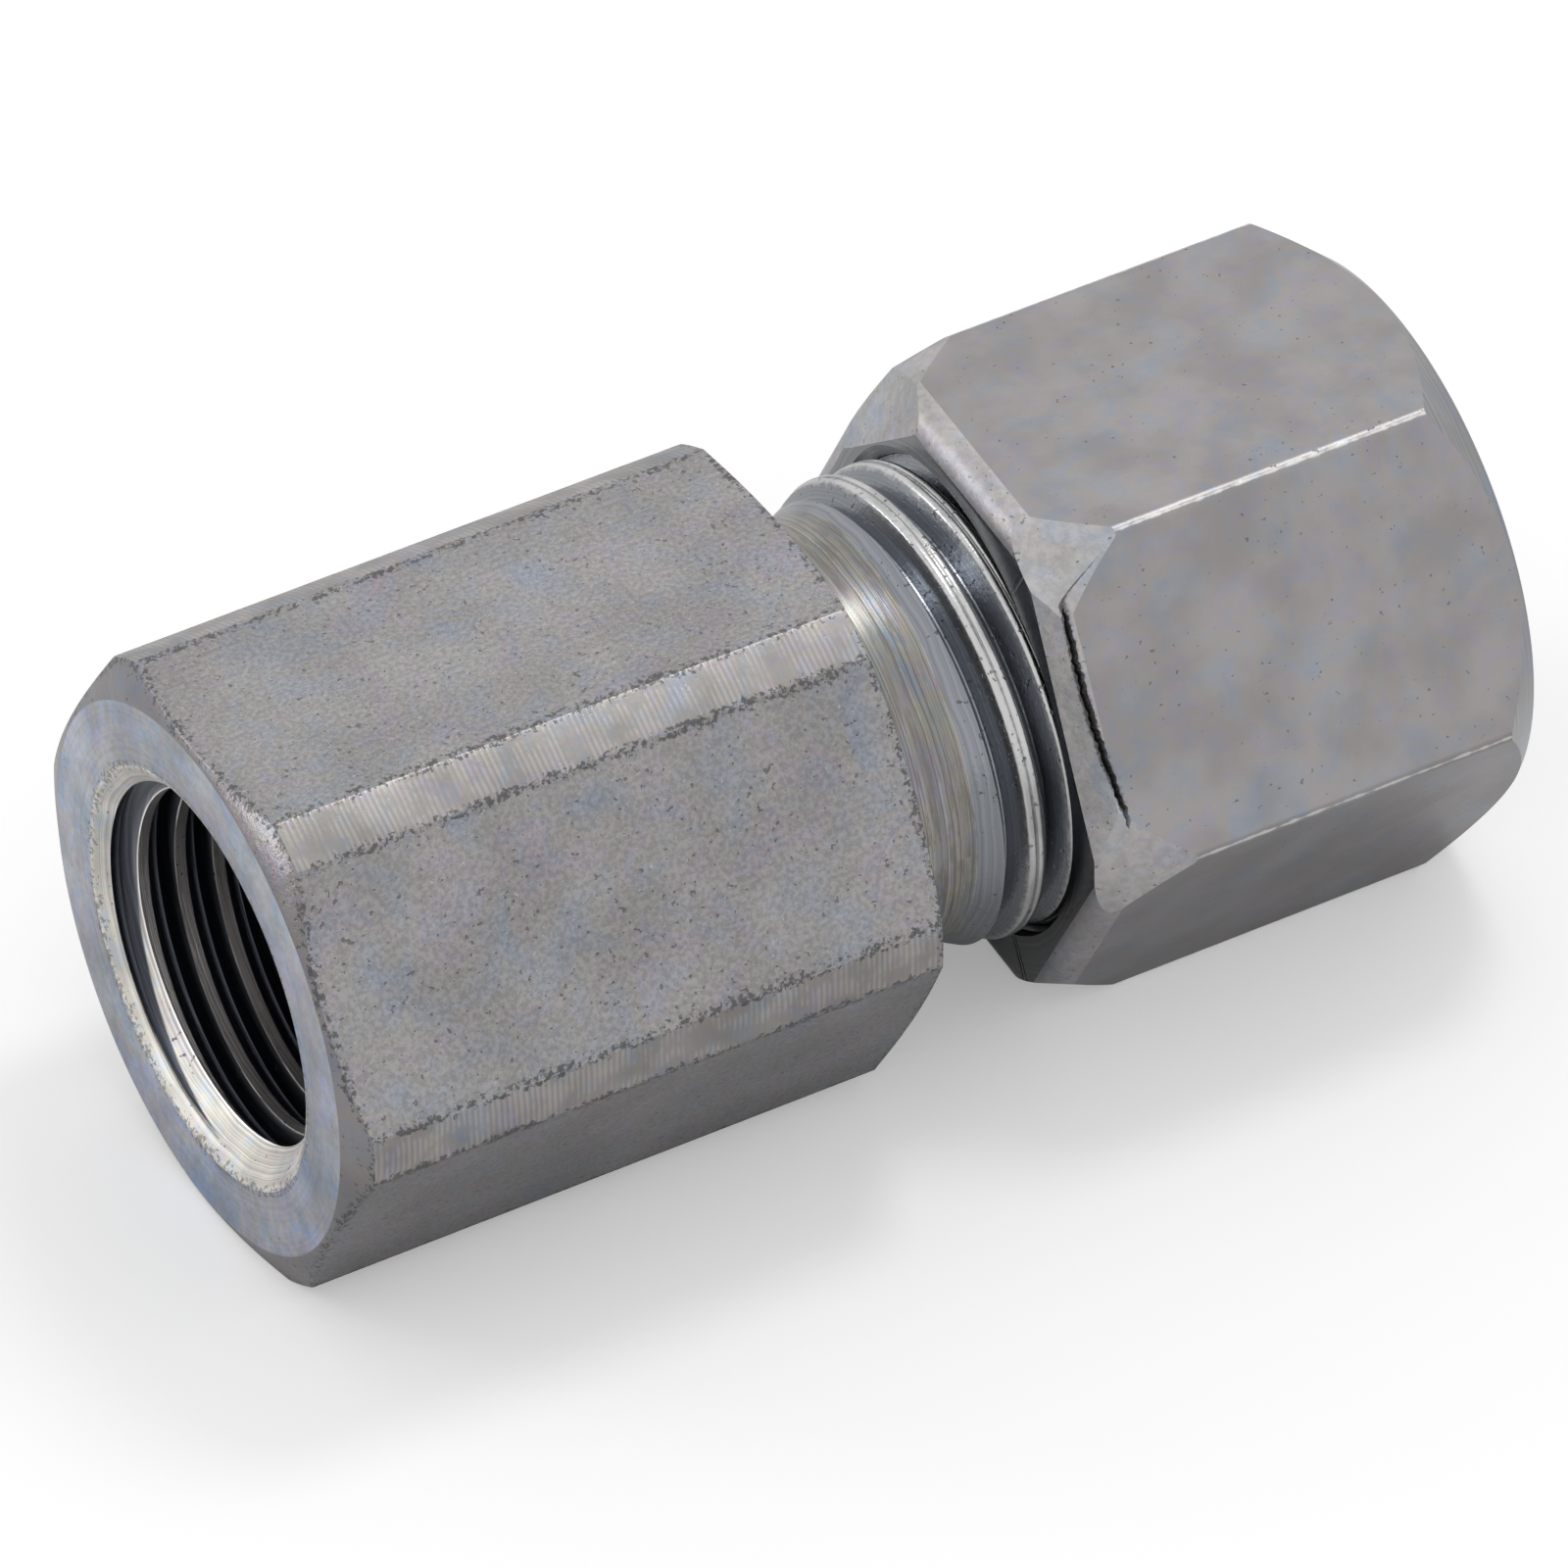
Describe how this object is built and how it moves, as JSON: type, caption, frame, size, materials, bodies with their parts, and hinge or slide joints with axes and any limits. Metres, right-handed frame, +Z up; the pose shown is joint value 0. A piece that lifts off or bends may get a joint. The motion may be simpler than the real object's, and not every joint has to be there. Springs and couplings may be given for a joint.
{
  "type": "female stud coupler",
  "caption": "Straight compression coupler with a hexagon body, a tapped female port at one end and a union nut over a cutting ring at the other.",
  "frame": {"origin": "centre of the female port's flat front face", "axes": "+X along the fitting's axis, from the female port towards the union nut; +Z up out of a flat of both hexagons, which rest on their opposite flat; +Y across two corners"},
  "size_m": [0.0431, 0.0218, 0.019],
  "materials": {
    "body_zinc": "zinc plated bar steel: drawn and pitted flats, turned bands and ends",
    "ring_zinc": "zinc plated, finely turned hardened ring",
    "nut_zinc": "zinc plated, cold-formed steel with small pits"
  },
  "bodies": {
    "body": {"coupling_body": "body_zinc"},
    "ring": {"cutting_ring": "ring_zinc"},
    "nut": {"union_nut": "nut_zinc"}
  },
  "joints": [
    {"name": "nut_travel", "type": "slide", "parent": "body", "child": "ring", "axis": [1, 0, 0], "range_m": [0, 0.0046]},
    {"name": "nut_turn", "type": "hinge", "parent": "ring", "child": "nut", "pos_m": [0.0354, 0, 0], "axis": [1, 0, 0], "range_deg": [0, 1080]}
  ],
  "couplings": [
    {"joint": "nut_travel", "follows": "nut_turn", "m_per_rad": 0.00023873}
  ]
}
